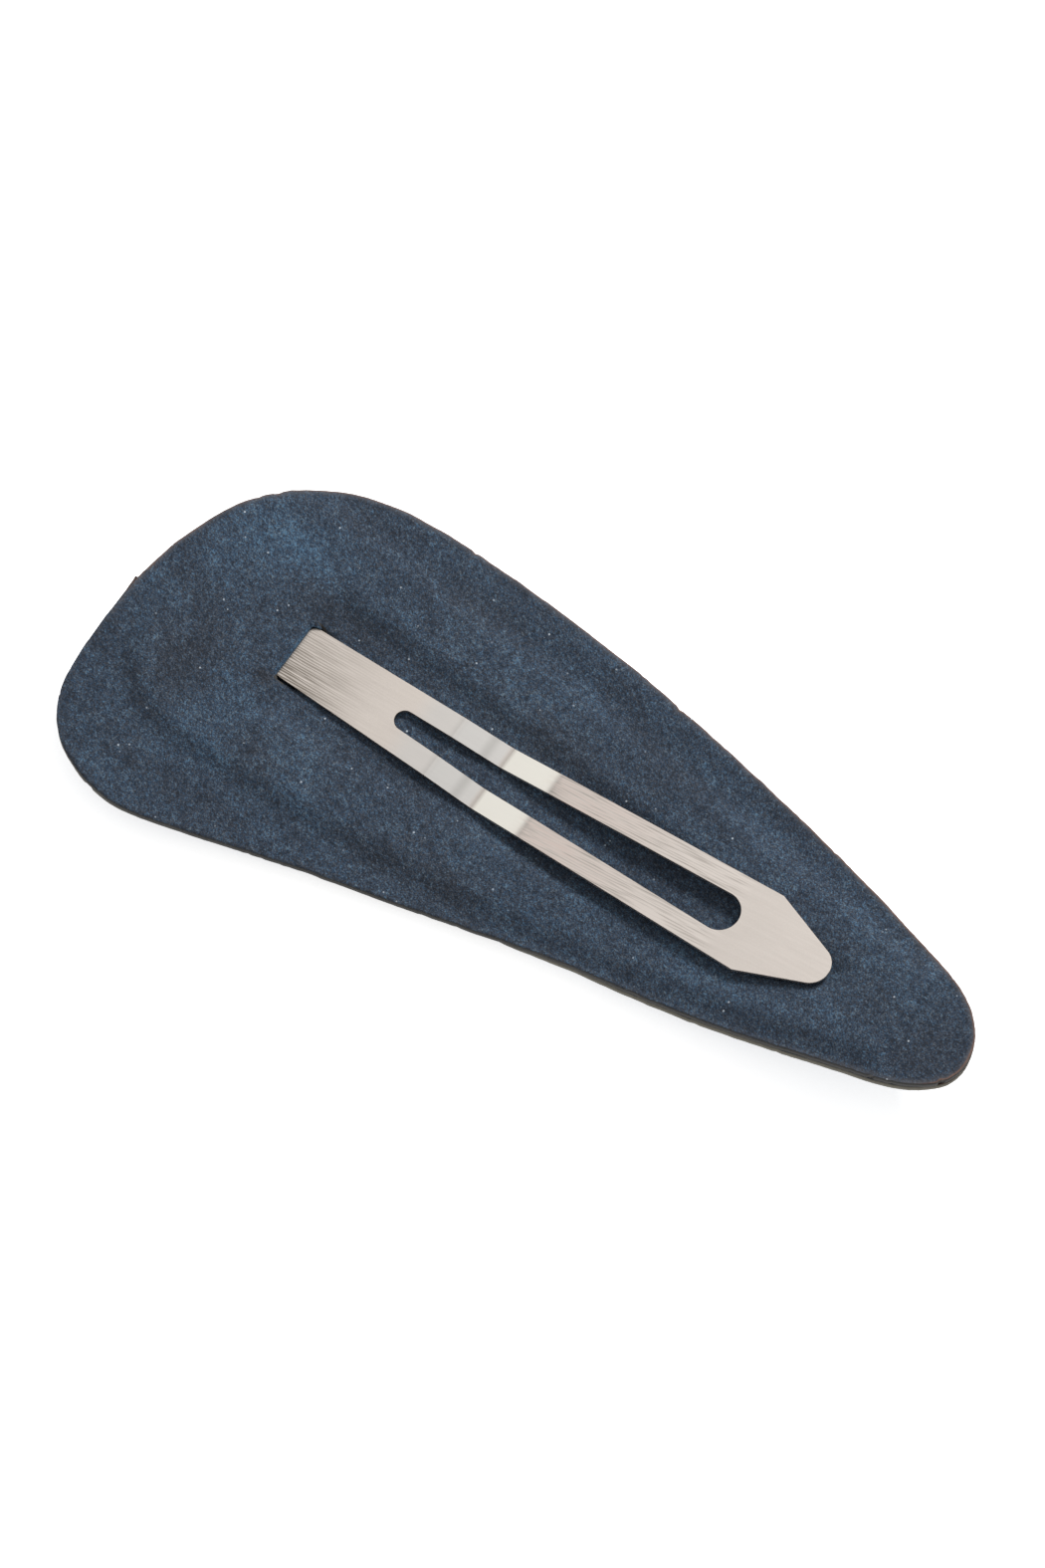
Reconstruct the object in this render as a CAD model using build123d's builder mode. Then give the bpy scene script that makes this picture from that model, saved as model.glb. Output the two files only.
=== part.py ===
from build123d import *

import os
from math import sqrt

# Snap hair clip that lies on its front: a stamped spring frame between two glued
# layers of suede leather, and the frame's tongue on top, out of a slit in the back layer.
# Millimetres. +X runs to the narrow tip, +Z up out of the clip's back, and the origin
# is under the middle of the leather, on the surface that the clip lies on.

# Spring sheet: a closed ring of two arms, with a short tab that the tongue follows on from
metal = 0.5
frame_length = 89.0
frame_width_wide = 28.2
frame_width_tip = 8.4
arm_bulge = 1.9
arm_width_wide = 4.6
arm_width_tip = 2.4
plate_depth = 12.1
tip_band = 5.5
frame_corner = 8.0
frame_tip_corner = 3.6
window_corner = 2.0
tab_reach = 6.4

# Leather: how far each side of the outline stands out past the frame
leather_wall = 1.0
glue_gap = 0.1
brim_wide_end = 4.8
brim_tip = 9.2
brim_upper = 6.2
brim_lower = 11.2
undercut = 0.55

# Where the front layer's lower edge is undercut, as shares of half the leather's length
undercut_rise = 0.5
undercut_end = 0.1
undercut_fade = 0.4

# Lengthwise bow of the closed clip, and the relief pressed into the leather
bow_radius = 200.0
bow_low = 38.0
ridge_ramp = 3.2
pocket_depth = 0.2
trough_depth = 0.3
trough_reach = 5.0
trough_lead = 3.0
trough_length = 13.0
brim_rise = 0.5
facet_length = 3.4
least_foot = 0.33

# Tongue, measured along the clip from the slit, and its heights over the clip's outer face
slit_depth = 13.1
tongue_length = 67.5
tongue_width_root = 6.9
tongue_width_tip = 9.86
arrow_length = 8.7
tongue_tip_radius = 2.26
root_corner = 1.5
slot_start = 13.0
slot_end = 11.2
rail_width = 2.63
bend_reach = 19.3
crimp_reach = 25.3
crimp_length = 6.3
crimp_rise = 0.85
bend_radius = 4.0
root_height = 1.71
bend_height = 2.79

# Clearances
metal_clearance = 0.1
tongue_clearance = 0.1
tip_clearance = 0.5
slit_side = 0.3
slit_opening = 2.4
lip_cover = 0.2
lip_clearance = 0.15
root_gap = 0.2

# Worked out from the sizes above
leather_length = frame_length + brim_wide_end + brim_tip
leather_width = frame_width_wide + brim_upper + brim_lower
axis_y = (brim_lower - brim_upper) / 2
wide_x = brim_wide_end - leather_length / 2
tip_x = wide_x + frame_length
window_x = wide_x + plate_depth
window_end_x = tip_x - tip_band
low_x = wide_x + bow_low
slit_x = wide_x + slit_depth
tongue_tip_x = slit_x + tongue_length
arrow_x = tongue_tip_x - arrow_length
hinge_x = slit_x - lip_cover
root_x = hinge_x - metal / 2
stack = 2 * leather_wall + glue_gap
metal_height = leather_wall - pocket_depth + metal_clearance + metal / 2
ridge_height = metal_height + metal / 2 + metal_clearance - leather_wall - glue_gap
tall = leather_length

# Cut outline of the leather, each row a share of half its length and a share of half its
# width: from the narrow tip along the upper side, round the hand-cut wide end, and back
# below the axis
upper_shares = [(1.0, 0.06), (0.975, 0.215), (0.93, 0.315), (0.80, 0.45), (0.60, 0.602), (0.30, 0.78),
                (0.0, 0.914), (-0.25, 0.98), (-0.45, 1.0), (-0.65, 0.972), (-0.80, 0.838)]
wide_end_shares = [(-0.90, 0.615), (-0.968, 0.29), (-0.998, -0.09), (-0.999, -0.42), (-0.978, -0.73),
                   (-0.94, -0.865), (-0.87, -0.96), (-0.775, -1.0)]
lower_shares = [(-0.67, -0.955), (-0.40, -0.768), (-0.10, -0.603), (0.15, -0.475), (0.50, -0.36),
                (0.80, -0.231), (0.93, -0.156), (0.985, -0.06)]


def ease(share):
    """Smooth step from 0 to 1."""
    share = min(1.0, max(0.0, share))
    return share * share * (3 - 2 * share)


def bow(x):
    """Height of the clip's outer face: an arc along the frame, straight past its ends."""
    held = min(tip_x, max(wide_x, x))
    drop = sqrt(bow_radius**2 - (held - low_x) ** 2)
    return bow_radius - drop + (x - held) * (held - low_x) / drop


def along_frame(x):
    """Share of the frame's length at x, 0 at its wide end and 1 at its narrow end."""
    return min(1.0, max(0.0, (x - wide_x) / frame_length))


def half_width(x):
    """Half width of the frame's outer edge, which bulges between its two ends."""
    share = along_frame(x)
    straight = frame_width_wide + share * (frame_width_tip - frame_width_wide)
    return straight / 2 + arm_bulge * 4 * share * (1 - share)


def window_half_width(x):
    """Half width of the opening between the frame's arms."""
    arm = arm_width_wide + along_frame(x) * (arm_width_tip - arm_width_wide)
    return half_width(x) - arm


def ridge(x, y):
    """How much the hidden frame shows: 1 over its arms and plate, 0 well away from them."""
    side = abs(y - axis_y)
    outside = max(side - half_width(x), wide_x - x, x - tip_x)
    inside = min(window_half_width(x) - side, x - window_x, window_end_x - x)
    return (1 - ease(outside / ridge_ramp)) * (1 - ease(inside / ridge_ramp))


def trough(x, y):
    """Hollow that the tongue presses into both layers just past the slit."""
    across = 1 - ease((abs(y - axis_y) - tongue_width_root / 2) / trough_reach)
    along = ease((x - slit_x) / trough_lead) * (1 - ease((x - slit_x) / trough_length))
    return trough_depth * across * along


def brim(x, y):
    """The upper brim curls up a little between the frame's ends."""
    foot = half_width(x) + ridge_ramp
    share = ease(along_frame(x))
    return brim_rise * ease((y - axis_y - foot) / ridge_ramp) * 4 * share * (1 - share)


def outer_face(x, y):
    """Front layer's outer face, the one that the clip lies on."""
    return bow(x) - trough(x, y) + brim(x, y)


def pocket_floor(x, y):
    """Front layer's inner face, pressed in under the metal."""
    return outer_face(x, y) + leather_wall - pocket_depth * ridge(x, y)


def back_underside(x, y):
    """Back layer's inner face, lifted over the metal."""
    return outer_face(x, y) + leather_wall + glue_gap + ridge_height * ridge(x, y)


def back_top(x, y):
    """Back layer's outer face, the one that shows."""
    return back_underside(x, y) + leather_wall


def rows_across(x):
    """Places across the clip, closest together where the frame's relief rises and falls."""
    edge = window_half_width(x)
    foot = max(edge - ridge_ramp, least_foot * edge)
    outer = half_width(x)
    ramp_end = outer + ridge_ramp
    side = [foot / 2, foot, (foot + edge) / 2, edge, (edge + outer) / 2, outer, (outer + ramp_end) / 2]
    side += [ramp_end, ramp_end + ridge_ramp, leather_width]
    return [axis_y + offset for offset in [-y for y in reversed(side)] + [0] + side]


def stations_along():
    """Places along the clip, with one at each edge of the frame's relief."""
    margin = leather_length / 2 + ridge_ramp
    breaks = [-margin, wide_x - ridge_ramp, wide_x, window_x, window_x + ridge_ramp]
    breaks += [window_end_x - ridge_ramp, window_end_x, tip_x, tip_x + ridge_ramp, margin]
    stations = breaks[:1]
    for start, end in zip(breaks, breaks[1:]):
        pieces = max(1, round((end - start) / facet_length))
        stations += [start + (end - start) * (i + 1) / pieces for i in range(pieces)]
    return stations


def pressed_wall(lower, upper):
    """Wall between two height functions, as flat facets, a little larger than the leather."""
    places = [[(x, y) for y in rows_across(x)] for x in stations_along()]
    floor = [[(x, y, lower(x, y)) for x, y in row] for row in places]
    top = [[(x, y, upper(x, y)) for x, y in row] for row in places]
    last_i = len(places) - 1
    last_j = len(places[0]) - 1
    facets = []
    for skin in (floor, top):
        for i in range(last_i):
            for j in range(last_j):
                near, far = skin[i], skin[i + 1]
                facets.append([near[j], far[j], far[j + 1]])
                facets.append([near[j], far[j + 1], near[j + 1]])
    rim = [(i, 0) for i in range(last_i)] + [(last_i, j) for j in range(last_j)]
    rim += [(i, last_j) for i in range(last_i, 0, -1)] + [(0, j) for j in range(last_j, 0, -1)]
    for (i, j), (k, m) in zip(rim, rim[1:] + rim[:1]):
        facets.append([floor[i][j], floor[k][m], top[k][m], top[i][j]])
    return Solid(Shell([Face(Wire.make_polygon(corners)) for corners in facets]))


def tongue_half_width(x):
    """Half width of the tongue, which widens evenly from the slit to the arrow's corners."""
    share = (x - slit_x) / (arrow_x - slit_x)
    return (tongue_width_root + share * (tongue_width_tip - tongue_width_root)) / 2


def outline_point(shares, inset):
    """Point of the outline. The front layer's lower edge is cut a little inside the back layer's."""
    x, y = shares
    reach = 0
    if y < 0:
        reach = ease((x + 1) / undercut_rise) * (1 - ease((x + undercut_end) / undercut_fade))
    return (x * leather_length / 2, y * leather_width / 2 + inset * reach)


def leather_outline(inset):
    """Cut outline as one closed curve."""
    shares = upper_shares + wide_end_shares + lower_shares
    with BuildSketch(mode=Mode.PRIVATE) as outline:
        with BuildLine():
            Spline([outline_point(pair, inset) for pair in shares], periodic=True)
        make_face()
    return outline.sketch


def between_arms(start_x, end_x, half, start_corner, end_corner):
    """Outline bounded by two bulging sides, with rounded corners."""
    middle_x = (start_x + end_x) / 2
    with BuildSketch(mode=Mode.PRIVATE) as outline:
        with BuildLine():
            upper = ThreePointArc(*[(x, half(x)) for x in (start_x, middle_x, end_x)])
            lower = ThreePointArc(*[(x, -half(x)) for x in (start_x, middle_x, end_x)])
            Line(upper @ 0, lower @ 0)
            Line(upper @ 1, lower @ 1)
        make_face()
        corners = outline.vertices().group_by(Axis.X)
        fillet(corners[0], radius=start_corner)
        fillet(corners[-1], radius=end_corner)
    return outline.sketch


# The clip's middle plane, looked at from its lower side, and its plan
clip_side = Plane((0, axis_y, 0), x_dir=(1, 0, 0), z_dir=(0, -1, 0))
clip_plan = Plane((0, axis_y, 0))

# Bends of the tongue, at the middle of the metal
bend_x = slit_x + bend_reach
crimp_x = slit_x + crimp_reach
crimp_end_x = crimp_x + crimp_length
root_z = bow(slit_x) + root_height
bend_z = bow(bend_x) + bend_height
crimp_z = bow(crimp_x) + stack + tongue_clearance + metal / 2
tongue_tip_z = back_top(tongue_tip_x, axis_y) + tip_clearance + metal / 2
root_half = tongue_half_width(root_x)
tongue_bends = [
    (hinge_x, root_z),
    (bend_x, bend_z),
    (crimp_x, crimp_z),
    (crimp_end_x, crimp_z + crimp_rise),
    (tongue_tip_x, tongue_tip_z),
]

# Tongue: crimped strip with a rounded root and one rounded root corner, cut to an arrow
# with a long slot
with BuildPart() as tongue:
    with BuildSketch(clip_side):
        with BuildLine():
            FilletPolyline(*tongue_bends, radius=bend_radius)
        trace(line_width=metal)
        with Locations(tongue_bends[0]):
            Circle(metal / 2)
    extrude(amount=tongue_width_tip, both=True)
    with BuildSketch(clip_plan):
        with BuildLine():
            CenterArc((root_x + root_corner, root_half - root_corner), root_corner, 90, 90)
            Line((root_x, root_half - root_corner), (root_x, -root_half))
            Line((arrow_x, tongue_half_width(arrow_x)), (arrow_x, -tongue_half_width(arrow_x)))
            CenterArc((tongue_tip_x - tongue_tip_radius, 0), tongue_tip_radius, 0, 360)
        make_hull()
    extrude(amount=tall, mode=Mode.INTERSECT)
    with BuildSketch(clip_plan):
        slot_near_x = slit_x + slot_start
        slot_far_x = tongue_tip_x - slot_end
        slot_near = tongue_half_width(slot_near_x) - rail_width
        slot_far = tongue_half_width(slot_far_x) - rail_width
        with BuildLine():
            CenterArc((slot_near_x + slot_near, 0), slot_near, 0, 360)
            CenterArc((slot_far_x - slot_far, 0), slot_far, 0, 360)
        make_hull()
    extrude(amount=tall, mode=Mode.SUBTRACT)
tongue.part.label = "tongue"

# Middle of the frame's sheet, bowed with the clip, and of the tab that rises to the slit
frame_line = [(x, bow(x) + metal_height) for x in (wide_x, low_x, tip_x)]
tab_x = slit_x - tab_reach
tab_line = [(tab_x, bow(tab_x) + metal_height), (root_x - root_gap, root_z)]

# Spring frame: bowed sheet cut to a ring, plus the tab in front of the tongue's root
with BuildPart() as spring_frame:
    with BuildSketch(clip_side):
        with BuildLine():
            ThreePointArc(*frame_line)
        trace(line_width=metal)
    extrude(amount=frame_width_wide, both=True)
    with BuildSketch(clip_plan):
        add(between_arms(wide_x, tip_x, half_width, frame_corner, frame_tip_corner))
        add(
            between_arms(window_x, window_end_x, window_half_width, window_corner, window_corner),
            mode=Mode.SUBTRACT,
        )
    extrude(amount=tall, mode=Mode.INTERSECT)
    with BuildSketch(clip_side):
        with BuildLine():
            Line(*tab_line)
        trace(line_width=metal)
    extrude(amount=tongue_width_root / 2, both=True)
spring_frame.part.label = "spring_frame"

# Front layer: bowed wall with the pocket for the frame pressed into its inner face
with BuildPart() as front_leather:
    add(pressed_wall(outer_face, pocket_floor))
    with BuildSketch():
        add(leather_outline(undercut))
    extrude(amount=tall, both=True, mode=Mode.INTERSECT)
front_leather.part.label = "front_leather"

# Room for the metal in the slit: under the lip, over the tongue, and through to the frame
slit_half = tongue_width_root / 2 + slit_side
lip_room = [tab_line[0], (slit_x + metal, root_z)]
under_tongue = metal / 2 + tongue_clearance
tongue_room = [
    (slit_x, root_z - under_tongue),
    (bend_x, bend_z - under_tongue),
    (bend_x, tall),
    (slit_x, tall),
]
slit_room = [(slit_x, 0), (slit_x + slit_opening, 0), (slit_x + slit_opening, tall), (slit_x, tall)]

# Back layer: wall that follows the frame's relief, slit for the tongue
with BuildPart() as back_leather:
    add(pressed_wall(back_underside, back_top))
    with BuildSketch():
        add(leather_outline(0))
    extrude(amount=tall, both=True, mode=Mode.INTERSECT)
    with BuildSketch(clip_side):
        with BuildLine():
            Line(*lip_room)
        trace(line_width=metal + 2 * lip_clearance)
        with BuildLine():
            Polyline(*tongue_room, close=True)
        make_face()
        with BuildLine():
            Polyline(*slit_room, close=True)
        make_face()
    extrude(amount=slit_half, both=True, mode=Mode.SUBTRACT)
back_leather.part.label = "back_leather"

os.makedirs("parts", exist_ok=True)
export_step(front_leather.part, "parts/front_leather.step")
export_step(back_leather.part, "parts/back_leather.step")
export_step(spring_frame.part, "parts/spring_frame.step")
export_step(tongue.part, "parts/tongue.step")
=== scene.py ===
from math import cos, exp, pi, radians, sin, sqrt

import bmesh
import bpy
import numpy as np
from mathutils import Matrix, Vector, kdtree, noise


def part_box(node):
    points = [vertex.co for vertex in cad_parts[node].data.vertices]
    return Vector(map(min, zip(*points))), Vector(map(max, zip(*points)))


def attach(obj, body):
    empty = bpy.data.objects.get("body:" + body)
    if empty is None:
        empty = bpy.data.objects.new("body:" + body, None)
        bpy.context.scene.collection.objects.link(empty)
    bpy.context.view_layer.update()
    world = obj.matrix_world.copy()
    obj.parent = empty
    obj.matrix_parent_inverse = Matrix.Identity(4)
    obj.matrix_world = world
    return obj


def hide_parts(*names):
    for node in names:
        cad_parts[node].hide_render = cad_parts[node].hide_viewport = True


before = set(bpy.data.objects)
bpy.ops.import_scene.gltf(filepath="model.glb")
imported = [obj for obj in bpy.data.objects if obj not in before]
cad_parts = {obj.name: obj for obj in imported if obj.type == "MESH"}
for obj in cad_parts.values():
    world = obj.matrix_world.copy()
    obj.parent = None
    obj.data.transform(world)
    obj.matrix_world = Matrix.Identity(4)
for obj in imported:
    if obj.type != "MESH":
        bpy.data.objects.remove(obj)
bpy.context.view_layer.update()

# Metres, in the part's own frame: +X to the narrow tip, +Z up out of the clip's back.
MM = 0.001

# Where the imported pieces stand
tongue_low, tongue_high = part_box("tongue")
spring_low, spring_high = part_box("spring_frame")
axis_y = (tongue_low.y + tongue_high.y) / 2
wide_x = spring_low.x
narrow_x = spring_high.x
METAL = 0.5 * MM
ROOT_UNDER_LIP = 0.45 * MM
slit_x = tongue_low.x + ROOT_UNDER_LIP

# Leather: its walls, its lengthwise bow and the relief pressed into it
WALL = 1.0 * MM
GLUE_GAP = 0.1 * MM
BOW_RADIUS = 200 * MM
BOW_LOW = 38.0 * MM
FRAME_WIDTH_WIDE = 28.2 * MM
FRAME_WIDTH_TIP = 8.4 * MM
ARM_BULGE = 1.9 * MM
ARM_WIDTH_WIDE = 4.6 * MM
ARM_WIDTH_TIP = 2.4 * MM
PLATE_DEPTH = 12.1 * MM
FRAME_CORNER = 8.0 * MM
TIP_BAND = 5.5 * MM
RIDGE_RAMP = 3.2 * MM
RIDGE_HEIGHT = 0.5 * MM
TROUGH_DEPTH = 0.3 * MM
TROUGH_REACH = 5.0 * MM
TROUGH_LEAD = 3.0 * MM
TROUGH_LENGTH = 13.0 * MM
BRIM_RISE = 0.5 * MM
TONGUE_WIDTH_ROOT = 6.9 * MM
SLIT_SIDE = 0.15 * MM
SLIT_HALF = TONGUE_WIDTH_ROOT / 2 + SLIT_SIDE
SLIT_REACH_ACROSS = SLIT_HALF * 1.01
SLIT_OPENING = 2.4 * MM
LIP_REACH = 5.0 * MM
LIP_BLEND = 0.4 * MM
BED_REACH = 9.0 * MM
SLIT_REACH = 9.0 * MM
LIP_CLEARANCE = 0.12 * MM
LIP_LEAST = 0.22 * MM
ROOT_CORNER = 1.5 * MM
CORNER_GAP = 0.12 * MM
CORNER_SHARE = 0.24
TONGUE_CLEARANCE = 0.1 * MM
POCKET_DEPTH = 0.2 * MM
ROOT_HEIGHT = 1.71 * MM
ROOT_SLOPE = -0.025
RIM_ROUND = 0.14 * MM
EDGE_BREAK = 0.02 * MM
WELD = 0.002 * MM
low_x = wide_x + BOW_LOW
frame_length = narrow_x - wide_x

# The hand-cut rim: its waves, each as waves per mm and height in mm, and its nicks
RIM_WAVES = [(0.35, 0.10), (1.6, 0.05)]
NICKS_PER_MM = 0.9
NICK_PLACE = Vector((7, 3, 0))
NICK_LEAST = 0.42
NICK_DEPTH = 0.9

# How level a face is, from 0 upright to 1, and the turns between faces
UPRIGHT = 0.1
RIM_FACE = 0.3
CUT_FACE = 0.6
LEVEL_FACE = 0.7
STRAIGHT_TURN = radians(0.4)
STAMPED_TURN = radians(50)

# Finishes, as linear colours
NAVY_DEEP = (0.014, 0.019, 0.028, 1)
NAVY_MID = (0.037, 0.050, 0.0735, 1)
DYE_WARM = (1.22, 1.00, 0.84, 1)
DYE_COOL = (0.76, 1.01, 1.16, 1)
NAVY_PALE = (0.086, 0.135, 0.185, 1)
RIM_GREY = (0.088, 0.084, 0.087, 1)
RIM_BROWN = (0.17, 0.085, 0.05, 1)
LINT = (0.45, 0.50, 0.55, 1)
CHARCOAL = (0.028, 0.028, 0.030, 1)
KHAKI = (0.13, 0.12, 0.095, 1)
STEEL_DARK = (0.19, 0.165, 0.14, 1)
STEEL_LIGHT = (0.68, 0.62, 0.57, 1)
# Painted reflections and shade on the tongue: grey, dip, bend, rosy and cream; the sheared edge's
# brown is its own
STEEL_GREY_REFLECTION = (0.465, 0.45, 0.432, 1)
STEEL_DIP_REFLECTION = (0.405, 0.392, 0.375, 1)
STEEL_BEND_SHADE = (0.29, 0.28, 0.265, 1)
STEEL_EDGE = (0.46, 0.39, 0.32, 1)
STEEL_ROSY_REFLECTION = (0.63, 0.51, 0.46, 1)
STEEL_CREAM_REFLECTION = (0.88, 0.85, 0.775, 1)
SHEEN_BLUE = (0.55, 0.68, 0.85, 1)
PAPER = (0.86, 0.86, 0.86, 1)
WHITE = (1, 1, 1, 1)

# Wear of the leather: the worn rim, dyed over on the lower side; and a painted highlight on the
# slit's lip
RIM_REACH = 0.75 * MM
RIM_DYED = 0.8
LOWER_SIDE_TURN = 1.5
OUTLINE_STRETCH = 3
LIP_HIGHLIGHT = 0.3

# Lie of the suede's fibres and of its brushed patches
PATCH_TURN = radians(-25)
PATCH_STRETCH = (2.2, 1, 1)
FIBRE_TURN = radians(-10)
CROSSING_TURN = radians(-50)
FIBRE_STRETCH = (2, 1, 1)

# Grain of the steel: its fine lines, the painted shade at its root under the lip, which fades
# across the strip, the stretch of the rails that shows lines, and where the rails turn paler and
# less rosy: painted reflection
LINE_PITCH = 0.3 * MM
LINE_TURN = radians(3)
LINE_STRETCH = (24, 1, 24)
ROOT_START = slit_x - 2 * MM
ROOT_END = slit_x + 12 * MM
ROOT_SHADE_DEPTH = 0.53
ROOT_FADE = 45
RAIL_LINES = (-2.5 * MM, 21 * MM, 1.5 * MM)
RAILS_REFLECTION_STEP = (-4 * MM, 0)
ROSY_REFLECTION_FADE = (0, 16 * MM)

# Where the suede is paler or darker, from nap brush marks and from painted light and shade of the
# relief: x, y, reach along, reach across, how much paler
NAP_AND_SHADE_PATCHES = [
    (-42.9, 9.7, 6.0, 4.5, 0.13),
    (-38.0, 13.5, 4.0, 2.5, 0.09),
    (-37.0, 18.0, 3.0, 2.0, -0.09),
    (-43.0, 1.0, 3.0, 4.0, -0.05),
    (-43.5, -6.5, 3.0, 4.0, -0.11),
    (-41.0, -9.0, 2.5, 4.5, -0.07),
    (-41.2, -2.7, 2.5, 2.0, -0.04),
    (-35.9, -6.3, 3.0, 3.0, 0.08),
    (-34.5, -12.0, 2.5, 2.0, 0.06),
    # Painted shade in the pit at the slit's lower corner.
    (-34.4, -2.0, 0.9, 0.7, -0.30),
    (-30.0, 8.2, 8.0, 2.2, -0.13),
    (-30.0, -9.5, 3.5, 1.6, -0.10),
    (-24.0, -11.5, 3.0, 2.0, 0.05),
    (-20.0, 17.5, 4.5, 2.5, -0.14),
    (-6.0, 9.8, 8.0, 2.4, -0.12),
    (-8.0, -10.6, 7.0, 2.4, -0.13),
    # Painted light, lifting the tongue's shadow on its lower side.
    (15.0, -3.4, 7.0, 1.4, 0.08),
    (48.0, 0.0, 4.0, 7.0, -0.07),
]

# Painted reflections and shade at the tongue's bends: colour, start, end, softness of both, share
# of the colour
PAINTED_REFLECTION_BANDS = [
    (STEEL_GREY_REFLECTION, -18.5, -13.0, 1.5, 0.7),
    (STEEL_DIP_REFLECTION, -14.2, -8.5, 0.35, 1.0),
    (STEEL_CREAM_REFLECTION, -8.0, -2.3, 0.3, 1.0),
    (STEEL_BEND_SHADE, -14.7, -14.0, 0.4, 0.3),
    (STEEL_BEND_SHADE, -10.9, -9.9, 0.5, 0.6),
    (STEEL_BEND_SHADE, -8.5, -7.9, 0.25, 0.15),
    (STEEL_BEND_SHADE, -2.6, -1.9, 0.25, 0.25),
]

# Studio
FLOOR_SIZE = 3.0
FLOOR_GLOW = 0.62
WORLD_STRENGTH = 0.64
FLOOR_DROP = 0.00002
KEY_DIRECTION = (0.06, 0.70, 0.72)
KEY_DISTANCE = 0.9
KEY_SIZE = 0.3
KEY_POWER = 8.6

# The photograph's camera
CAMERA_AZIMUTH = radians(34.4)
CAMERA_ELEVATION = radians(68)
CAMERA_DISTANCE = 700 * MM
CAMERA_AIM = Vector((-5.85 * MM, 4.65 * MM, 0))
VIEW_HEIGHT = 165.8 * MM
SENSOR = 36.0


class Value:
    """A socket's output in an expression. Operators add Math nodes to its material."""

    def __init__(self, shader, socket):
        self.shader = shader
        self.socket = socket

    def math(self, operation, *others):
        sockets = {i: other for i, other in enumerate((self, *others))}
        return self.shader.node("ShaderNodeMath", {"operation": operation}, sockets)[0]

    def __add__(self, other):
        return self.math("ADD", other)

    __radd__ = __add__

    def __sub__(self, other):
        return self.math("SUBTRACT", other)

    def __rsub__(self, other):
        return (self * -1) + other

    def __mul__(self, other):
        return self.math("MULTIPLY", other)

    __rmul__ = __mul__

    def clamp(self):
        return self.shader.node("ShaderNodeClamp", {}, {0: self})[0]

    def step(self, start, end):
        """Smooth step from 0 at start to 1 at end."""
        settings = {"interpolation_type": "SMOOTHSTEP"}
        return self.shader.node("ShaderNodeMapRange", settings, {0: self, 1: start, 2: end})[0]


class Shader:
    """A material and its nodes."""

    def __init__(self, name):
        self.material = bpy.data.materials.new(name)
        self.material.use_nodes = True
        self.nodes = self.material.node_tree.nodes
        self.links = self.material.node_tree.links
        self.surface = self.nodes["Principled BSDF"]

    def plug(self, value, socket):
        if isinstance(value, Value):
            self.links.new(value.socket, socket)
        else:
            socket.default_value = value

    def node(self, kind, settings, sockets):
        """Adds a node, sets it, then links or sets its inputs. Returns its outputs.

        A ramp's stops run from 0 to 1, each a position and a colour.
        """
        node = self.nodes.new(kind)
        for key, value in settings.items():
            if key == "stops":
                for position, _ in value[1:-1]:
                    node.color_ramp.elements.new(position)
                for stop, (_, colour) in zip(node.color_ramp.elements, value):
                    stop.color = colour
            else:
                setattr(node, key, value)
        for key, value in sockets.items():
            self.plug(value, node.inputs[key])
        return [Value(self, output) for output in node.outputs]

    def place(self):
        """Object coordinates."""
        return self.node("ShaderNodeTexCoord", {}, {})[3]

    def turned(self, place, angle=0.0, stretch=(1, 1, 1)):
        """Turns a pattern about +Z, and stretches it along its own axes."""
        sockets = {"Vector": place, "Rotation": (0, 0, angle), "Scale": stretch}
        return self.node("ShaderNodeMapping", {"vector_type": "TEXTURE"}, sockets)[0]

    def noise(self, place, scale, detail=2.0, roughness=0.5, distortion=0.0):
        sockets = {
            "Vector": place,
            "Scale": scale,
            "Detail": detail,
            "Roughness": roughness,
            "Distortion": distortion,
        }
        return self.node("ShaderNodeTexNoise", {}, sockets)[0]

    def mix(self, share, first, second, blend="MIX"):
        settings = {"data_type": "RGBA", "blend_type": blend}
        return self.node("ShaderNodeMix", settings, {0: share, 6: first, 7: second})[2]

    def ramp(self, share, stops):
        return self.node("ShaderNodeValToRGB", {"stops": stops}, {0: share})[0]

    def attribute(self, name):
        return self.node("ShaderNodeAttribute", {"attribute_name": name}, {})[2]

    def band(self, value, start, end, soft):
        """1 between start and end, soft at both."""
        return value.step(start - soft, start + soft) * (1 - value.step(end - soft, end + soft))

    def bump(self, height, distance, strength=1.0, normal=None):
        sockets = {"Height": height, "Distance": distance, "Strength": strength}
        if normal is not None:
            sockets["Normal"] = normal
        return self.node("ShaderNodeBump", {}, sockets)[0]

    def set(self, **sockets):
        for name, value in sockets.items():
            self.plug(value, self.surface.inputs[name.replace("_", " ")])


def ease(share):
    """Smooth step from 0 to 1."""
    share = min(1.0, max(0.0, share))
    return share * share * (3 - 2 * share)


def bow(x):
    """Height of the clip's outer face: an arc along the frame, straight past its ends."""
    held = min(narrow_x, max(wide_x, x))
    drop = sqrt(BOW_RADIUS**2 - (held - low_x) ** 2)
    return BOW_RADIUS - drop + (x - held) * (held - low_x) / drop


def along_frame(x):
    return min(1.0, max(0.0, (x - wide_x) / frame_length))


def half_width(x):
    """Half width of the hidden frame's outer edge."""
    share = along_frame(x)
    straight = FRAME_WIDTH_WIDE + share * (FRAME_WIDTH_TIP - FRAME_WIDTH_WIDE)
    return straight / 2 + ARM_BULGE * 4 * share * (1 - share)


def window_half_width(x):
    """Half width of the opening between the hidden frame's arms."""
    return half_width(x) - (ARM_WIDTH_WIDE + along_frame(x) * (ARM_WIDTH_TIP - ARM_WIDTH_WIDE))


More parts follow.
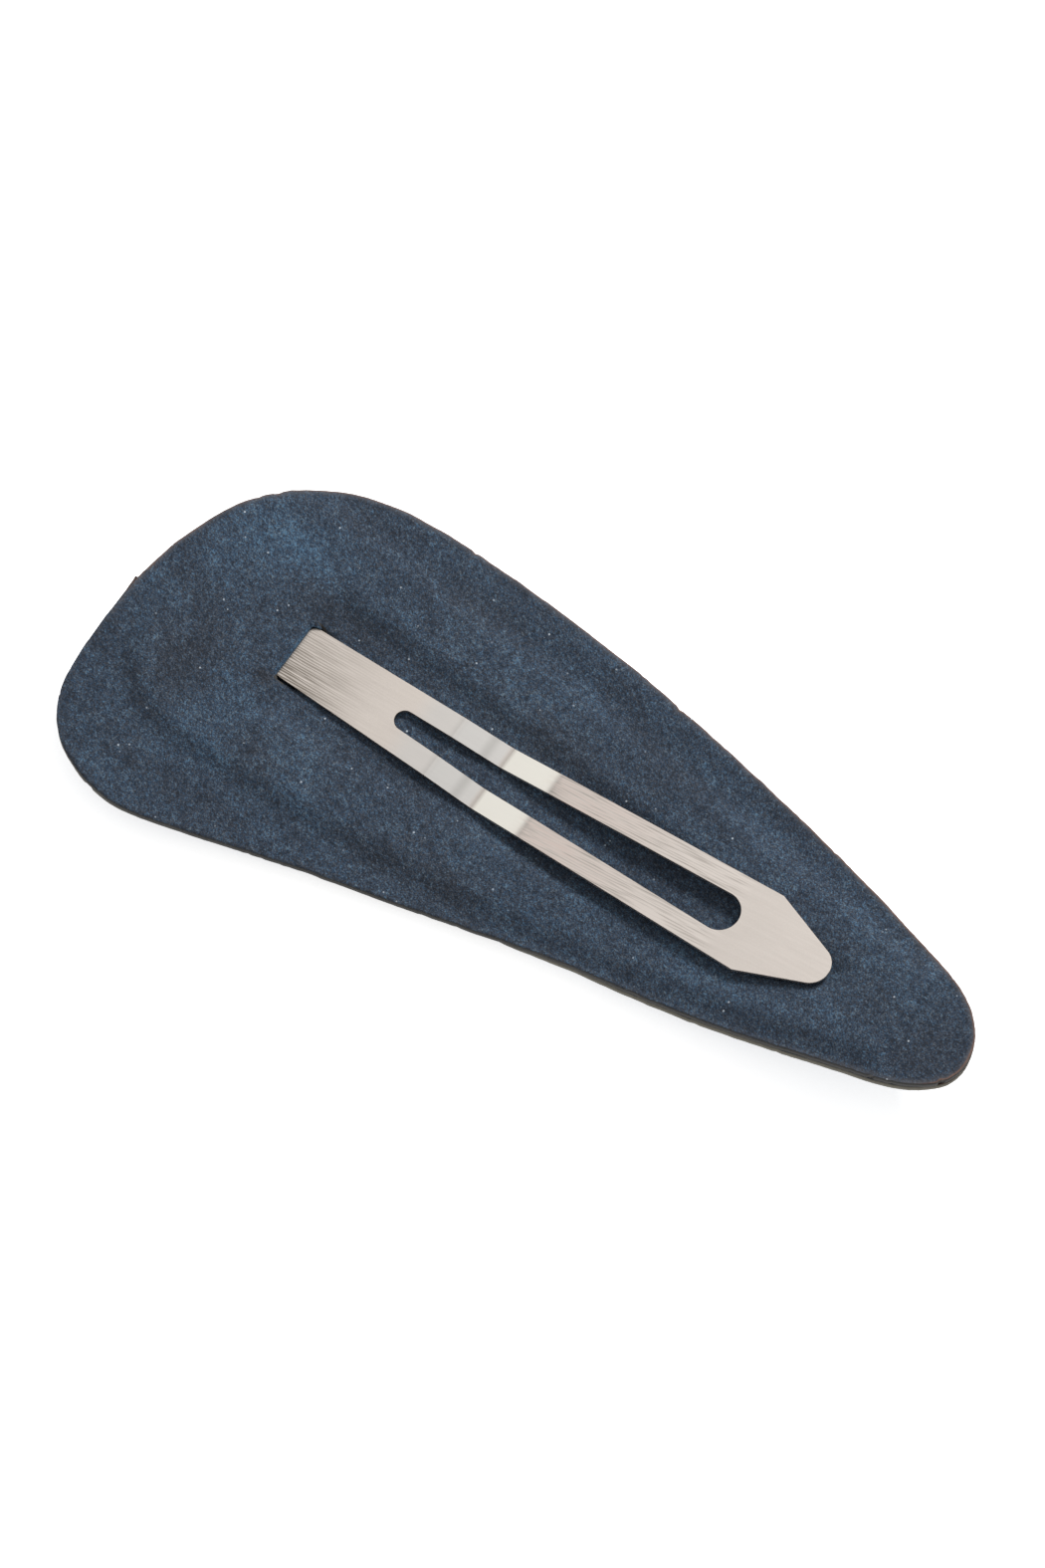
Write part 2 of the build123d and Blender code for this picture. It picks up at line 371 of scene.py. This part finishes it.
def ridge(x, y):
    """How much the hidden frame shows: 1 over its arms and plate, 0 well away from them."""
    side = abs(y - axis_y)
    outside = max(side - half_width(x), wide_x - x, x - narrow_x)
    past_corner = Vector((wide_x - x, side - half_width(x))) + Vector((FRAME_CORNER, FRAME_CORNER))
    if min(past_corner) > 0:
        outside = past_corner.length - FRAME_CORNER
    inside = min(window_half_width(x) - side, x - wide_x - PLATE_DEPTH, narrow_x - TIP_BAND - x)
    return (1 - ease(outside / RIDGE_RAMP)) * (1 - ease(inside / RIDGE_RAMP))


def trough(x, y):
    """Hollow that the tongue presses into both layers just past the slit."""
    across = 1 - ease((abs(y - axis_y) - TONGUE_WIDTH_ROOT / 2) / TROUGH_REACH)
    past_slit = x - slit_x
    along = ease(past_slit / TROUGH_LEAD) * (1 - ease(past_slit / TROUGH_LENGTH))
    return TROUGH_DEPTH * across * along


def brim(x, y):
    """The upper brim curls up a little between the frame's ends."""
    share = ease(along_frame(x))
    rise = ease((y - axis_y - half_width(x) - RIDGE_RAMP) / RIDGE_RAMP)
    return BRIM_RISE * rise * 4 * share * (1 - share)


def outer_face(x, y):
    return bow(x) - trough(x, y) + brim(x, y)


def back_underside(x, y):
    return outer_face(x, y) + WALL + GLUE_GAP + RIDGE_HEIGHT * ridge(x, y)


def back_top(x, y):
    return back_underside(x, y) + WALL


def packed_outline(node):
    """Cut outline of a packed layer: its ends, and functions from x to its lower and upper y."""
    rim = bmesh.new()
    rim.from_mesh(frame_mesh(node))
    bmesh.ops.remove_doubles(rim, verts=rim.verts, dist=WELD)
    upright = [f for f in rim.faces if abs(f.normal.z) < UPRIGHT]
    places = {
        (v.co.x, v.co.y)
        for f in upright
        for v in f.verts
        if abs(v.co.x - slit_x) > SLIT_REACH or abs(v.co.y - axis_y) > 2 * SLIT_HALF
    }
    rim.free()
    west, east = min(places), max(places)
    lower, upper = [west, east], [west, east]
    for x, y in places - {west, east}:
        across = west[1] + (east[1] - west[1]) * (x - west[0]) / (east[0] - west[0])
        (upper if y > across else lower).append((x, y))
    lower_x, lower_y = zip(*sorted(lower))
    upper_x, upper_y = zip(*sorted(upper))
    return (
        west[0],
        east[0],
        lambda x: float(np.interp(x, lower_x, lower_y)),
        lambda x: float(np.interp(x, upper_x, upper_y)),
    )


def frame_mesh(node):
    return bpy.data.objects[node].data


def leather_sheet(node, columns, side_rows, slit_rows):
    """Grid over a packed layer's outline, with a row on each side of the slit."""
    west, east, lower, upper = packed_outline(node)
    xs = [(west + east) / 2 - (east - west) / 2 * cos(pi * i / columns) for i in range(columns + 1)]
    for mark in (slit_x, slit_x + SLIT_OPENING):
        nearest = min(range(columns), key=lambda i: abs(xs[i] - mark))
        xs[nearest] = mark
    rows = 2 * side_rows + slit_rows
    sheet = bmesh.new()
    bmesh.ops.create_grid(sheet, x_segments=columns, y_segments=rows, size=1)
    for v in sheet.verts:
        x = xs[round((v.co.x + 1) / 2 * columns)]
        j = round((v.co.y + 1) / 2 * rows)
        low_y, high_y = lower(x), upper(x)
        middle = min(max(axis_y, low_y), high_y)
        slit_low = max(axis_y - SLIT_HALF, middle - (middle - low_y) / 2)
        slit_high = min(axis_y + SLIT_HALF, middle + (high_y - middle) / 2)
        corner = slit_high - CORNER_SHARE * (slit_high - slit_low)
        marks = (0, side_rows, side_rows + slit_rows / 2, side_rows + slit_rows, rows)
        v.co = (x, float(np.interp(j, marks, (low_y, slit_low, corner, slit_high, high_y))), 0)
    bmesh.ops.remove_doubles(sheet, verts=sheet.verts, dist=WELD)
    return sheet


def in_slit(x, y):
    return slit_x < x < slit_x + SLIT_OPENING and abs(y - axis_y) < SLIT_HALF


def slit_edge(y):
    """x of the lip's cut edge, which goes round the tongue's upper corner."""
    rise = min(ROOT_CORNER, y - axis_y - TONGUE_WIDTH_ROOT / 2 + ROOT_CORNER)
    if rise <= 0 or y > axis_y + SLIT_REACH_ACROSS:
        return slit_x
    corner_x = tongue_low.x + ROOT_CORNER - sqrt(ROOT_CORNER**2 - rise**2)
    return max(slit_x, corner_x - CORNER_GAP)


def nap(x, y):
    """How much paler the suede is at a place, from nap brush marks and painted light and shade."""
    paler = 0.0
    for centre_x, centre_y, along, across, weight in NAP_AND_SHADE_PATCHES:
        away = ((x / MM - centre_x) / along) ** 2 + ((y / MM - centre_y) / across) ** 2
        paler += weight * exp(-away)
    return paler


def on_lip(x, y):
    return abs(x - slit_edge(y)) < WELD and abs(y - axis_y) < SLIT_REACH_ACROSS


def ragged(x, y, seed):
    """How far the hand-cut rim strays outwards: fine waves, and a few small nicks."""
    place = Vector((x, y, seed)) / MM
    wave = sum(noise.noise(place * pace) * height for pace, height in RIM_WAVES)
    nick = max(0.0, noise.noise(place * NICKS_PER_MM + NICK_PLACE) - NICK_LEAST)
    return (wave - nick * NICK_DEPTH) * MM


def outward(x, y):
    """Direction out of the leather's long outline."""
    return Vector((x / OUTLINE_STRETCH, y, 0)).normalized()


def leather_layer(name, sheet, bottom, top, seed):
    """Closes a sheet into a wall between two height functions, with a softened cut rim."""
    for v in {v for e in sheet.edges if e.is_boundary for v in e.verts}:
        at_slit = abs(v.co.y - axis_y) < SLIT_REACH_ACROSS and abs(v.co.x - slit_x) < LIP_REACH
        v.tag = not at_slit
    for v in [v for v in sheet.verts if v.tag]:
        v.co += outward(v.co.x, v.co.y) * ragged(v.co.x, v.co.y, seed)
    cut = kdtree.KDTree(len(sheet.verts))
    for i, v in enumerate(sheet.verts):
        if v.tag:
            cut.insert(v.co, i)
            v.tag = False
    cut.balance()
    for v in sheet.verts:
        v.co.z = bottom(v.co.x, v.co.y)
    grown = bmesh.ops.extrude_face_region(sheet, geom=sheet.faces[:])["geom"]
    raised = {v for v in grown if isinstance(v, bmesh.types.BMVert)}
    for v in raised:
        v.co.z = top(v.co.x, v.co.y)
    bmesh.ops.recalc_face_normals(sheet, faces=sheet.faces)
    depth = sheet.verts.layers.float.new("depth")
    rub = sheet.verts.layers.float.new("rub")
    nap_shade_layer = sheet.verts.layers.float.new("nap")
    rim = sheet.verts.layers.float.new("rim")
    for v in sheet.verts:
        v[depth] = 0.0 if v in raised else 1.0
        v[rub] = ridge(v.co.x, v.co.y)
        # Nap brush marks and painted light and shade, plus a painted highlight on the slit's lip.
        v[nap_shade_layer] = nap(v.co.x, v.co.y) + LIP_HIGHLIGHT * on_lip(v.co.x, v.co.y)
        worn = 1 - RIM_DYED * ease(-LOWER_SIDE_TURN * outward(v.co.x, v.co.y).y)
        v[rim] = worn * (1 - ease(cut.find((v.co.x, v.co.y, 0))[2] / RIM_REACH))
    rims = [e for e in sheet.edges if len(e.link_faces) == 2 and rim_turn(e)]
    tops = [e for e in rims if all(v in raised for v in e.verts)]
    bmesh.ops.bevel(
        sheet,
        geom=tops,
        offset=RIM_ROUND,
        affect="EDGES",
        segments=2,
        profile=0.5,
        material=-1,
        clamp_overlap=True,
    )
    for face in sheet.faces:
        face.smooth = True
        face.material_index = int(abs(face.normal.z) < CUT_FACE and not lip_wall(face))
    return finished(name, sheet)


def lip_wall(face):
    """The slit's cut face over the tongue, where the fibres of both sides meet. It takes the
    suede's colour, with a painted highlight on the lip.
    """
    x, y, _ = face.calc_center_median()
    return abs(x - slit_edge(y)) < RIM_ROUND and abs(y - axis_y) < SLIT_HALF


def rim_turn(edge):
    """True on an edge where a face of the layer meets its cut rim."""
    first, second = (abs(face.normal.z) for face in edge.link_faces)
    return min(first, second) < RIM_FACE and max(first, second) > LEVEL_FACE


def finished(name, shape):
    mesh = bpy.data.meshes.new(name)
    shape.to_mesh(mesh)
    shape.free()
    piece = bpy.data.objects.new(name, mesh)
    bpy.context.scene.collection.objects.link(piece)
    return piece


def back_layer():
    """Back layer: follows the hidden frame's relief, and is slit for the tongue."""
    sheet = leather_sheet("back_leather", columns=300, side_rows=46, slit_rows=32)
    opening = [f for f in sheet.faces if in_slit(*f.calc_center_median()[:2])]
    bmesh.ops.delete(sheet, geom=opening, context="FACES")
    for v in sheet.verts:
        nearness = max(0.0, 1 - abs(v.co.x - slit_x) / SLIT_OPENING)
        v.co.x += (slit_edge(v.co.y) - slit_x) * nearness
    layer = leather_layer("suede_back", sheet, lip_underside, tongue_bed, seed=1)
    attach(layer, "clip_body")
    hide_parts("back_leather")
    layer.data.materials.append(suede("navy suede back", seed=3.0))
    layer.data.materials.append(cut_edge("cut edge back", seed=5.0, bare=0.15))
    return layer


def lip_underside(x, y):
    """Underside of the back layer, hollowed over the metal under the slit's lip."""
    inside = ease((SLIT_HALF + LIP_BLEND - abs(y - axis_y)) / LIP_BLEND)
    reach = ease((x - slit_x + LIP_REACH) / LIP_REACH) * (x <= slit_edge(y) + WELD)
    room = tongue_mid(x) + METAL / 2 + LIP_CLEARANCE
    low = back_underside(x, y)
    return low + max(0.0, min(room, back_top(x, y) - LIP_LEAST) - low) * inside * reach


def tongue_mid(x):
    """Height of the middle of the metal near the slit."""
    return bow(slit_x) + ROOT_HEIGHT + (x - slit_x) * ROOT_SLOPE


def tongue_bed(x, y):
    """Top of the back layer, pressed down where the tongue lies on it."""
    top = back_top(x, y)
    inside = ease((SLIT_HALF + LIP_BLEND - abs(y - axis_y)) / LIP_BLEND)
    if not slit_edge(y) + WELD < x < slit_x + BED_REACH or inside == 0:
        return top
    room = tongue_mid(x) - METAL / 2 - TONGUE_CLEARANCE
    return top + min(0.0, room - top) * inside


def front_layer():
    """Front layer: the plain one that the clip lies on."""
    sheet = leather_sheet("front_leather", columns=220, side_rows=30, slit_rows=8)
    layer = leather_layer("suede_front", sheet, outer_face, pocket_floor, seed=9)
    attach(layer, "clip_body")
    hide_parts("front_leather")
    layer.data.materials.append(suede("navy suede front", seed=11.0))
    layer.data.materials.append(cut_edge("cut edge front", seed=13.0, bare=0.9))
    return layer


def pocket_floor(x, y):
    return outer_face(x, y) + WALL - POCKET_DEPTH * ridge(x, y)


def tongue_strip():
    """Tongue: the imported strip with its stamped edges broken."""
    strip = bmesh.new()
    strip.from_mesh(frame_mesh("tongue"))
    bmesh.ops.remove_doubles(strip, verts=strip.verts, dist=WELD)
    bmesh.ops.dissolve_limit(
        strip, angle_limit=STRAIGHT_TURN, verts=strip.verts, edges=strip.edges
    )
    joined = [e for e in strip.edges if len(e.link_faces) == 2]
    sharp = [e for e in joined if e.calc_face_angle() > STAMPED_TURN]
    broken = bmesh.ops.bevel(
        strip,
        geom=sharp,
        offset=EDGE_BREAK,
        affect="EDGES",
        segments=2,
        profile=0.5,
        material=-1,
        clamp_overlap=True,
    )
    for face in broken["faces"]:
        face.material_index = 1
    bmesh.ops.triangulate(strip, faces=strip.faces)
    for face in strip.faces:
        face.smooth = False
    piece = finished("tongue_strip", strip)
    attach(piece, "tongue")
    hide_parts("tongue")
    piece.data.materials.append(brushed_steel("tongue steel"))
    piece.data.materials.append(stamped_edge("stamped edge"))
    return piece


def suede(name, seed):
    """Navy suede: short fibres that lie every way, paler where the frame rubs it from inside, with
    patches of nap brush marks and painted light and shade.
    """
    s = Shader(name)
    shift = {0: s.place(), 1: (seed, seed, 0)}
    place = s.node("ShaderNodeVectorMath", {"operation": "ADD"}, shift)[0]
    cloud = s.noise(place, scale=70, detail=3.0, roughness=0.6)
    leaning = s.turned(place, PATCH_TURN, PATCH_STRETCH)
    patch = s.noise(leaning, scale=190, detail=3.0, roughness=0.6, distortion=0.6)
    flock = s.noise(place, scale=850, detail=3.0, roughness=0.65, distortion=0.5)
    lying = s.turned(place, FIBRE_TURN, FIBRE_STRETCH)
    fibre_a = s.noise(lying, scale=4200, detail=2.0, roughness=0.6, distortion=0.4)
    crossing = s.turned(place, CROSSING_TURN, FIBRE_STRETCH)
    fibre_b = s.noise(crossing, scale=4000, detail=2.0, roughness=0.6, distortion=0.4)
    fibres = fibre_a.math("MAXIMUM", fibre_b)
    grit = s.noise(place, scale=7000, detail=1.0)
    rub = s.attribute("rub")
    # The patches' attribute brings nap brush marks and painted light and shade.
    broad = (cloud - 0.5) * 0.25 + (patch - 0.5) * 0.5 + s.attribute("nap") + rub * 0.04
    fine = (flock - 0.5) * 0.75 + (fibres - 0.55) * 2.0 + (grit - 0.5) * 1.6
    stops = [(0, NAVY_DEEP), (0.5, NAVY_MID), (1, NAVY_PALE)]
    dye_and_shade_tint = s.noise(place, scale=5200, detail=2.0, roughness=0.7)
    # The same patches cool the dye where they are paler, painted light among them.
    dye_and_shade_tint = dye_and_shade_tint + (patch - 0.5) * 0.12 + s.attribute("nap") * 0.45
    tint = s.mix(dye_and_shade_tint.step(0.33, 0.67), DYE_WARM, DYE_COOL)
    coat = s.mix(1.0, s.ramp(broad + fine + 0.36, stops), tint, blend="MULTIPLY")
    rim = s.attribute("rim")
    coat = s.mix((rim * (flock + 0.1)).clamp(), coat, RIM_GREY)
    coat = s.mix(rim.step(0.75, 0.95) * fibres, coat, RIM_BROWN)
    specks = {"Vector": place, "Scale": 900, "Randomness": 1.0}
    speck = s.node("ShaderNodeTexVoronoi", {}, specks)[0]
    spark = (1 - speck.step(0.06, 0.14)) * s.noise(place, scale=260, detail=1.0).step(0.58, 0.65)
    relief = s.bump(rub, distance=0.5 * MM)
    pile = fibres * 0.6 + flock * 0.8 + patch * 0.4
    s.set(
        Base_Color=s.mix(spark * 0.7, coat, LINT),
        Roughness=0.95,
        Normal=s.bump(pile, distance=0.12 * MM, strength=0.8, normal=relief),
        Sheen_Weight=0.12,
        Sheen_Roughness=0.45,
        Sheen_Tint=SHEEN_BLUE,
        Specular_IOR_Level=0.15,
    )
    return s.material


def cut_edge(name, seed, bare):
    """Cut through the hide: charcoal, paler along its lower side as bare says."""
    s = Shader(name)
    shift = {0: s.place(), 1: (seed, 0, seed)}
    place = s.node("ShaderNodeVectorMath", {"operation": "ADD"}, shift)[0]
    grain = s.noise(place, scale=2600, detail=3.0, roughness=0.6)
    run = s.noise(place, scale=240, detail=2.0)
    low = (s.attribute("depth") + (run - 0.5) * 0.5).step(0.55, 1.0)
    s.set(
        Base_Color=s.mix((low * (grain * 0.8 + 0.5) * bare).clamp(), CHARCOAL, KHAKI),
        Roughness=0.9,
        Normal=s.bump(grain, distance=0.08 * MM),
        Specular_IOR_Level=0.2,
    )
    return s.material


def brushed_steel(name):
    """Satin spring steel, with fine lines along it, and painted reflections and shade in bands at
    its bends, at its root and on its rails.
    """
    s = Shader(name)
    place = s.place()
    along = s.turned(place, LINE_TURN, LINE_STRETCH)
    lines = s.noise(along, scale=5600, detail=1.5, roughness=0.5)
    mottle = s.noise(place, scale=120, detail=3.0)
    grain = s.noise(place, scale=8000, detail=1.0)
    x, y, _ = s.node("ShaderNodeSeparateXYZ", {}, {0: place})
    comb = ((y - x * LINE_TURN) * (2 * pi / LINE_PITCH) + lines * 9).math("SINE") * 0.25
    # Painted shade under the lip at the root; the same mask makes the root's scratch lines
    # stronger.
    near_root = 1 - x.step(ROOT_START, ROOT_END)
    root_shade_and_lines = near_root * (ROOT_SHADE_DEPTH - (y - tongue_low.y) * ROOT_FADE)
    rails = s.band(x, *RAIL_LINES)
    scratch = comb * (root_shade_and_lines * 4.0 + rails * 0.6)
    scratch = scratch + (lines - 0.5) * (root_shade_and_lines * 1.5 + rails * 1.5 + 0.08)
    tone = scratch + (mottle - 0.5) * 0.08 + (grain - 0.5) * 0.14 - root_shade_and_lines
    # Painted reflection: the steel turns paler past the crimp.
    tone = tone + x.step(*RAILS_REFLECTION_STEP) * 0.26 + 0.64
    satin_and_reflections = s.mix(tone.clamp(), STEEL_DARK, STEEL_LIGHT)
    # Painted reflections and shade in bands at the bends.
    for colour, start, end, soft, share in PAINTED_REFLECTION_BANDS:
        satin_and_reflections = s.mix(s.band(x, start * MM, end * MM, soft * MM) * share, satin_and_reflections, colour)
    # Painted rosy reflection on the rails' lines, fading towards the tip.
    rosy_reflection = rails * (1 - x.step(*ROSY_REFLECTION_FADE)) * (lines * 2 - 0.7).clamp()
    satin_and_reflections = s.mix(rosy_reflection, satin_and_reflections, STEEL_ROSY_REFLECTION)
    s.set(
        Base_Color=satin_and_reflections,
        Metallic=1.0,
        Roughness=(lines - 0.5) * 0.03 + 0.36,
        Normal=s.bump(lines, distance=0.001 * MM, strength=0.6),
    )
    return s.material


def stamped_edge(name):
    """Sheared corner of the strip, rougher and browner than its face."""
    s = Shader(name)
    grain = s.noise(s.turned(s.place(), 0, (6, 1, 1)), scale=5000, detail=2.0)
    s.set(
        Base_Color=s.mix(grain, STEEL_DARK, STEEL_EDGE),
        Metallic=1.0,
        Roughness=grain * 0.2 + 0.5,
    )
    return s.material


def hidden_steel(name):
    """Plain rolled sheet, for the frame between the layers."""
    s = Shader(name)
    grain = s.noise(s.turned(s.place(), 0, (20, 1, 20)), scale=2600, detail=3.0)
    s.set(
        Base_Color=s.mix(grain, STEEL_DARK, STEEL_LIGHT),
        Metallic=1.0,
        Roughness=grain * 0.15 + 0.35,
    )
    return s.material


def floor():
    slab = bmesh.new()
    bmesh.ops.create_grid(slab, x_segments=1, y_segments=1, size=FLOOR_SIZE / 2)
    ground = finished("floor", slab)
    ground.location.z = -FLOOR_DROP
    s = Shader("white paper")
    s.set(
        Base_Color=PAPER,
        Roughness=0.9,
        Specular_IOR_Level=0.0,
        Emission_Color=WHITE,
        Emission_Strength=FLOOR_GLOW,
    )
    ground.data.materials.append(s.material)


def lamp(name, direction, distance, size, power):
    light = bpy.data.lights.new(name, "AREA")
    light.shape = "DISK"
    light.size = size
    light.energy = power
    stand = bpy.data.objects.new(name, light)
    way = Vector(direction).normalized()
    stand.location = way * distance
    stand.rotation_euler = way.to_track_quat("Z", "Y").to_euler()
    bpy.context.scene.collection.objects.link(stand)


def studio():
    world = bpy.data.worlds.new("studio")
    world.use_nodes = True
    background = world.node_tree.nodes["Background"]
    background.inputs["Color"].default_value = WHITE
    background.inputs["Strength"].default_value = WORLD_STRENGTH
    bpy.context.scene.world = world
    lamp("key", KEY_DIRECTION, KEY_DISTANCE, KEY_SIZE, KEY_POWER)
    bpy.context.scene.view_settings.view_transform = "Standard"


def camera():
    lens = bpy.data.cameras.new("camera")
    lens.sensor_width = SENSOR
    lens.lens = SENSOR * CAMERA_DISTANCE / VIEW_HEIGHT
    lens.clip_start, lens.clip_end = 0.01, 10
    eye = bpy.data.objects.new("camera", lens)
    level = cos(CAMERA_ELEVATION)
    side, front = sin(CAMERA_AZIMUTH) * level, -cos(CAMERA_AZIMUTH) * level
    back = Vector((side, front, sin(CAMERA_ELEVATION)))
    eye.location = CAMERA_AIM + back * CAMERA_DISTANCE
    eye.rotation_euler = back.to_track_quat("Z", "Y").to_euler()
    bpy.context.scene.collection.objects.link(eye)
    bpy.context.scene.camera = eye


back_layer()
front_layer()
tongue_strip()
bpy.data.objects["spring_frame"].data.materials.clear()
bpy.data.objects["spring_frame"].data.materials.append(hidden_steel("hidden steel"))
floor()
studio()
camera()
